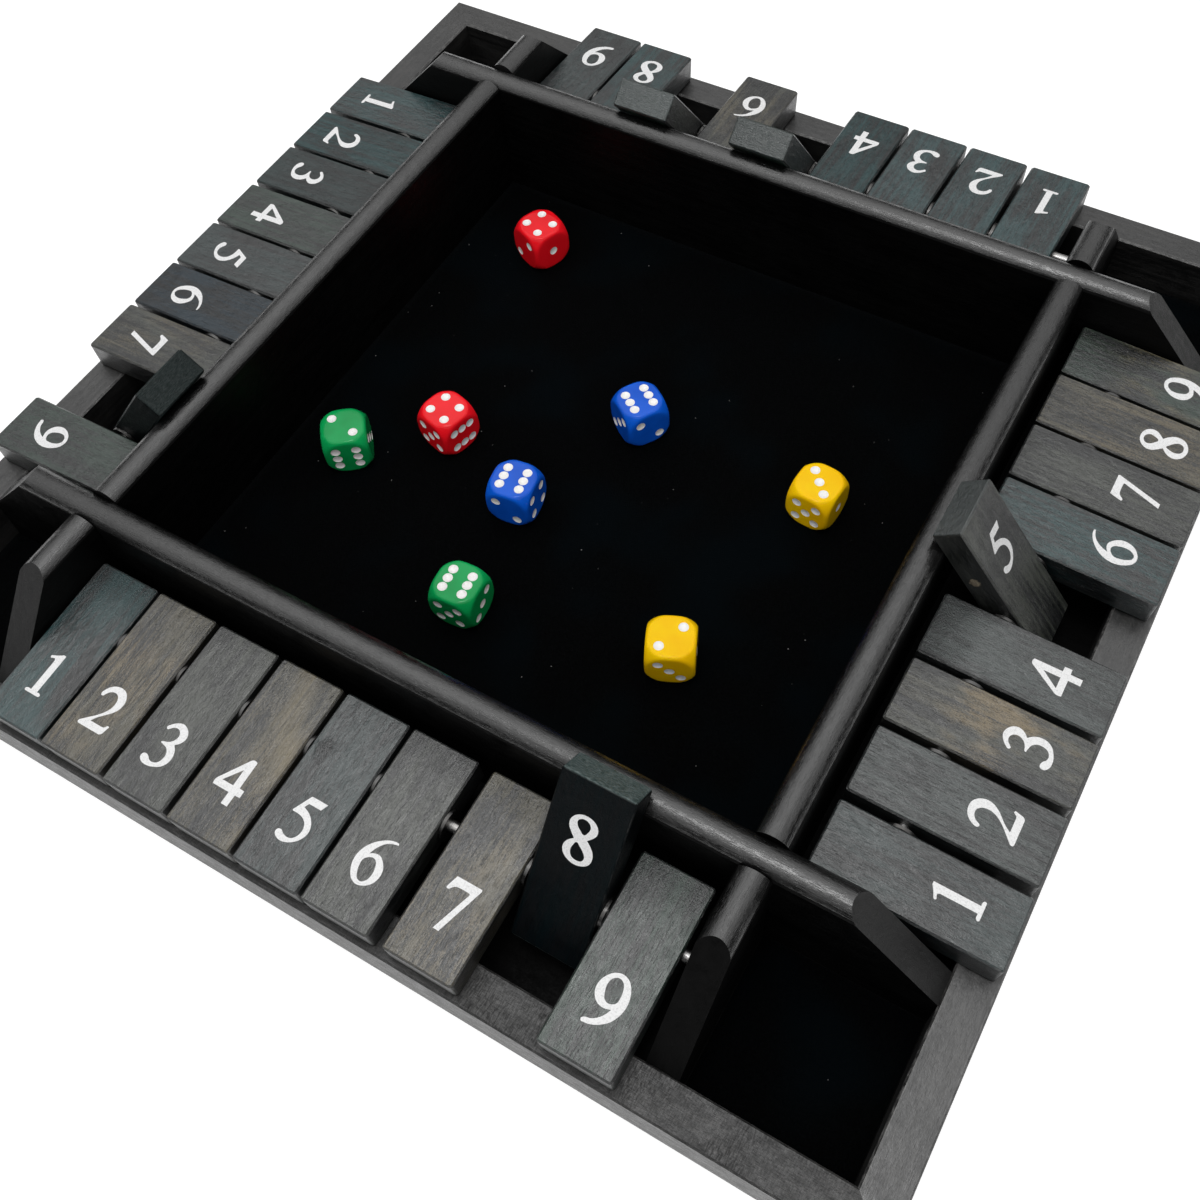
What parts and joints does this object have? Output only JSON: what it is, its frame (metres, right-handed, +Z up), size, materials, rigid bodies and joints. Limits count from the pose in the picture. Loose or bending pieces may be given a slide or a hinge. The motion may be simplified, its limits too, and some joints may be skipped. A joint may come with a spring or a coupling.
{
  "type": "shut the box game",
  "caption": "Low square wooden board with a felted dice tray, corner wells, and rows of hinged number tiles on steel rods along each side.",
  "frame": {"origin": "middle of the underside", "axes": "+Z up out of the dice tray, +X to the right of the player at the front, +Y away from that player"},
  "size_m": [0.305, 0.305, 0.0511],
  "materials": {
    "frame_wood": "black stain, satin",
    "divider_wood": "black stain, smooth satin",
    "tile_wood": "charcoal stain, satin, white painted numbers",
    "felt": "short black felt",
    "rod_steel": "bright drawn",
    "washer_steel": "zinc plated",
    "red_plastic": "polished, white pips",
    "blue_plastic": "polished, white pips",
    "green_plastic": "polished, white pips",
    "yellow_plastic": "polished, white pips"
  },
  "bodies": {
    "board": {"front_wall": "frame_wood", "right_wall": "frame_wood", "back_wall": "frame_wood", "left_wall": "frame_wood", "front_divider": "divider_wood", "right_divider": "divider_wood", "back_divider": "divider_wood", "left_divider": "divider_wood", "base_panel": "frame_wood", "tray_felt": "felt", "corner_felts": "felt", "front_rod": "rod_steel", "right_rod": "rod_steel", "back_rod": "rod_steel", "left_rod": "rod_steel", "spacer_washers": "washer_steel"},
    "front_tile_1": {"front_tile_1": "tile_wood"},
    "front_tile_2": {"front_tile_2": "tile_wood"},
    "front_tile_3": {"front_tile_3": "tile_wood"},
    "front_tile_4": {"front_tile_4": "tile_wood"},
    "front_tile_5": {"front_tile_5": "tile_wood"},
    "front_tile_6": {"front_tile_6": "tile_wood"},
    "front_tile_7": {"front_tile_7": "tile_wood"},
    "front_tile_8": {"front_tile_8": "tile_wood"},
    "front_tile_9": {"front_tile_9": "tile_wood"},
    "right_tile_1": {"right_tile_1": "tile_wood"},
    "right_tile_2": {"right_tile_2": "tile_wood"},
    "right_tile_3": {"right_tile_3": "tile_wood"},
    "right_tile_4": {"right_tile_4": "tile_wood"},
    "right_tile_5": {"right_tile_5": "tile_wood"},
    "right_tile_6": {"right_tile_6": "tile_wood"},
    "right_tile_7": {"right_tile_7": "tile_wood"},
    "right_tile_8": {"right_tile_8": "tile_wood"},
    "right_tile_9": {"right_tile_9": "tile_wood"},
    "back_tile_1": {"back_tile_1": "tile_wood"},
    "back_tile_2": {"back_tile_2": "tile_wood"},
    "back_tile_3": {"back_tile_3": "tile_wood"},
    "back_tile_4": {"back_tile_4": "tile_wood"},
    "back_tile_5": {"back_tile_5": "tile_wood"},
    "back_tile_6": {"back_tile_6": "tile_wood"},
    "back_tile_7": {"back_tile_7": "tile_wood"},
    "back_tile_8": {"back_tile_8": "tile_wood"},
    "back_tile_9": {"back_tile_9": "tile_wood"},
    "left_tile_1": {"left_tile_1": "tile_wood"},
    "left_tile_2": {"left_tile_2": "tile_wood"},
    "left_tile_3": {"left_tile_3": "tile_wood"},
    "left_tile_4": {"left_tile_4": "tile_wood"},
    "left_tile_5": {"left_tile_5": "tile_wood"},
    "left_tile_6": {"left_tile_6": "tile_wood"},
    "left_tile_7": {"left_tile_7": "tile_wood"},
    "left_tile_8": {"left_tile_8": "tile_wood"},
    "left_tile_9": {"left_tile_9": "tile_wood"},
    "red_die_1": {"red_die_1": "red_plastic"},
    "red_die_2": {"red_die_2": "red_plastic"},
    "blue_die_1": {"blue_die_1": "blue_plastic"},
    "blue_die_2": {"blue_die_2": "blue_plastic"},
    "green_die_1": {"green_die_1": "green_plastic"},
    "green_die_2": {"green_die_2": "green_plastic"},
    "yellow_die_1": {"yellow_die_1": "yellow_plastic"},
    "yellow_die_2": {"yellow_die_2": "yellow_plastic"}
  },
  "joints": [
    {"name": "front_tile_1_hinge", "type": "hinge", "parent": "board", "child": "front_tile_1", "pos_m": [-0.0827, -0.1194, 0.024], "axis": [-1, 0, 0], "range_deg": [0, 131.6]},
    {"name": "front_tile_2_hinge", "type": "hinge", "parent": "board", "child": "front_tile_2", "pos_m": [-0.063, -0.1194, 0.024], "axis": [-1, 0, 0], "range_deg": [0, 131.6]},
    {"name": "front_tile_3_hinge", "type": "hinge", "parent": "board", "child": "front_tile_3", "pos_m": [-0.0428, -0.1194, 0.024], "axis": [-1, 0, 0], "range_deg": [0, 131.6]},
    {"name": "front_tile_4_hinge", "type": "hinge", "parent": "board", "child": "front_tile_4", "pos_m": [-0.0226, -0.1194, 0.024], "axis": [-1, 0, 0], "range_deg": [0, 131.6]},
    {"name": "front_tile_5_hinge", "type": "hinge", "parent": "board", "child": "front_tile_5", "pos_m": [-0.0026, -0.1194, 0.024], "axis": [-1, 0, 0], "range_deg": [0, 131.6]},
    {"name": "front_tile_6_hinge", "type": "hinge", "parent": "board", "child": "front_tile_6", "pos_m": [0.0173, -0.1194, 0.024], "axis": [-1, 0, 0], "range_deg": [0, 131.6]},
    {"name": "front_tile_7_hinge", "type": "hinge", "parent": "board", "child": "front_tile_7", "pos_m": [0.0401, -0.1194, 0.024], "axis": [-1, 0, 0], "range_deg": [0, 131.6]},
    {"name": "front_tile_8_hinge", "type": "hinge", "parent": "board", "child": "front_tile_8", "pos_m": [0.0602, -0.1194, 0.024], "axis": [-1, 0, 0], "range_deg": [-131.6, 0]},
    {"name": "front_tile_9_hinge", "type": "hinge", "parent": "board", "child": "front_tile_9", "pos_m": [0.0803, -0.1194, 0.024], "axis": [-1, 0, 0], "range_deg": [0, 131.6]},
    {"name": "right_tile_1_hinge", "type": "hinge", "parent": "board", "child": "right_tile_1", "pos_m": [0.1194, -0.0808, 0.024], "axis": [0, -1, 0], "range_deg": [0, 131.6]},
    {"name": "right_tile_2_hinge", "type": "hinge", "parent": "board", "child": "right_tile_2", "pos_m": [0.1194, -0.0595, 0.024], "axis": [0, -1, 0], "range_deg": [0, 131.6]},
    {"name": "right_tile_3_hinge", "type": "hinge", "parent": "board", "child": "right_tile_3", "pos_m": [0.1194, -0.0388, 0.024], "axis": [0, -1, 0], "range_deg": [0, 131.6]},
    {"name": "right_tile_4_hinge", "type": "hinge", "parent": "board", "child": "right_tile_4", "pos_m": [0.1194, -0.0182, 0.024], "axis": [0, -1, 0], "range_deg": [0, 131.6]},
    {"name": "right_tile_5_hinge", "type": "hinge", "parent": "board", "child": "right_tile_5", "pos_m": [0.1194, 0.0024, 0.024], "axis": [0, -1, 0], "range_deg": [-131.6, 0]},
    {"name": "right_tile_6_hinge", "type": "hinge", "parent": "board", "child": "right_tile_6", "pos_m": [0.1194, 0.0229, 0.024], "axis": [0, -1, 0], "range_deg": [0, 131.6]},
    {"name": "right_tile_7_hinge", "type": "hinge", "parent": "board", "child": "right_tile_7", "pos_m": [0.1194, 0.0428, 0.024], "axis": [0, -1, 0], "range_deg": [0, 131.6]},
    {"name": "right_tile_8_hinge", "type": "hinge", "parent": "board", "child": "right_tile_8", "pos_m": [0.1194, 0.0627, 0.024], "axis": [0, -1, 0], "range_deg": [0, 131.6]},
    {"name": "right_tile_9_hinge", "type": "hinge", "parent": "board", "child": "right_tile_9", "pos_m": [0.1194, 0.0826, 0.024], "axis": [0, -1, 0], "range_deg": [0, 131.6]},
    {"name": "back_tile_1_hinge", "type": "hinge", "parent": "board", "child": "back_tile_1", "pos_m": [0.0769, 0.1194, 0.024], "axis": [1, 0, 0], "range_deg": [0, 131.6]},
    {"name": "back_tile_2_hinge", "type": "hinge", "parent": "board", "child": "back_tile_2", "pos_m": [0.0567, 0.1194, 0.024], "axis": [1, 0, 0], "range_deg": [0, 131.6]},
    {"name": "back_tile_3_hinge", "type": "hinge", "parent": "board", "child": "back_tile_3", "pos_m": [0.0367, 0.1194, 0.024], "axis": [1, 0, 0], "range_deg": [0, 131.6]},
    {"name": "back_tile_4_hinge", "type": "hinge", "parent": "board", "child": "back_tile_4", "pos_m": [0.0169, 0.1194, 0.024], "axis": [1, 0, 0], "range_deg": [0, 131.6]},
    {"name": "back_tile_5_hinge", "type": "hinge", "parent": "board", "child": "back_tile_5", "pos_m": [-0.003, 0.1194, 0.024], "axis": [1, 0, 0], "range_deg": [-131.6, 0]},
    {"name": "back_tile_6_hinge", "type": "hinge", "parent": "board", "child": "back_tile_6", "pos_m": [-0.0229, 0.1194, 0.024], "axis": [1, 0, 0], "range_deg": [0, 131.6]},
    {"name": "back_tile_7_hinge", "type": "hinge", "parent": "board", "child": "back_tile_7", "pos_m": [-0.043, 0.1194, 0.024], "axis": [1, 0, 0], "range_deg": [-131.6, 0]},
    {"name": "back_tile_8_hinge", "type": "hinge", "parent": "board", "child": "back_tile_8", "pos_m": [-0.063, 0.1194, 0.024], "axis": [1, 0, 0], "range_deg": [0, 131.6]},
    {"name": "back_tile_9_hinge", "type": "hinge", "parent": "board", "child": "back_tile_9", "pos_m": [-0.0828, 0.1194, 0.024], "axis": [1, 0, 0], "range_deg": [0, 131.6]},
    {"name": "left_tile_1_hinge", "type": "hinge", "parent": "board", "child": "left_tile_1", "pos_m": [-0.1194, 0.0826, 0.024], "axis": [0, 1, 0], "range_deg": [0, 131.6]},
    {"name": "left_tile_2_hinge", "type": "hinge", "parent": "board", "child": "left_tile_2", "pos_m": [-0.1194, 0.0624, 0.024], "axis": [0, 1, 0], "range_deg": [0, 131.6]},
    {"name": "left_tile_3_hinge", "type": "hinge", "parent": "board", "child": "left_tile_3", "pos_m": [-0.1194, 0.0426, 0.024], "axis": [0, 1, 0], "range_deg": [0, 131.6]},
    {"name": "left_tile_4_hinge", "type": "hinge", "parent": "board", "child": "left_tile_4", "pos_m": [-0.1194, 0.0223, 0.024], "axis": [0, 1, 0], "range_deg": [0, 131.6]},
    {"name": "left_tile_5_hinge", "type": "hinge", "parent": "board", "child": "left_tile_5", "pos_m": [-0.1194, 0.0025, 0.024], "axis": [0, 1, 0], "range_deg": [0, 131.6]},
    {"name": "left_tile_6_hinge", "type": "hinge", "parent": "board", "child": "left_tile_6", "pos_m": [-0.1194, -0.0173, 0.024], "axis": [0, 1, 0], "range_deg": [0, 131.6]},
    {"name": "left_tile_7_hinge", "type": "hinge", "parent": "board", "child": "left_tile_7", "pos_m": [-0.1194, -0.0373, 0.024], "axis": [0, 1, 0], "range_deg": [0, 131.6]},
    {"name": "left_tile_8_hinge", "type": "hinge", "parent": "board", "child": "left_tile_8", "pos_m": [-0.1194, -0.0579, 0.024], "axis": [0, 1, 0], "range_deg": [-131.6, 0]},
    {"name": "left_tile_9_hinge", "type": "hinge", "parent": "board", "child": "left_tile_9", "pos_m": [-0.1194, -0.0785, 0.024], "axis": [0, 1, 0], "range_deg": [0, 131.6]},
    {"name": "red_die_1_lift", "type": "slide", "parent": "board", "child": "red_die_1", "axis": [0, 0, 1], "range_m": [0, 0.06]},
    {"name": "red_die_2_lift", "type": "slide", "parent": "board", "child": "red_die_2", "axis": [0, 0, 1], "range_m": [0, 0.06]},
    {"name": "blue_die_1_lift", "type": "slide", "parent": "board", "child": "blue_die_1", "axis": [0, 0, 1], "range_m": [0, 0.06]},
    {"name": "blue_die_2_lift", "type": "slide", "parent": "board", "child": "blue_die_2", "axis": [0, 0, 1], "range_m": [0, 0.06]},
    {"name": "green_die_1_lift", "type": "slide", "parent": "board", "child": "green_die_1", "axis": [0, 0, 1], "range_m": [0, 0.06]},
    {"name": "green_die_2_lift", "type": "slide", "parent": "board", "child": "green_die_2", "axis": [0, 0, 1], "range_m": [0, 0.06]},
    {"name": "yellow_die_1_lift", "type": "slide", "parent": "board", "child": "yellow_die_1", "axis": [0, 0, 1], "range_m": [0, 0.06]},
    {"name": "yellow_die_2_lift", "type": "slide", "parent": "board", "child": "yellow_die_2", "axis": [0, 0, 1], "range_m": [0, 0.06]}
  ]
}
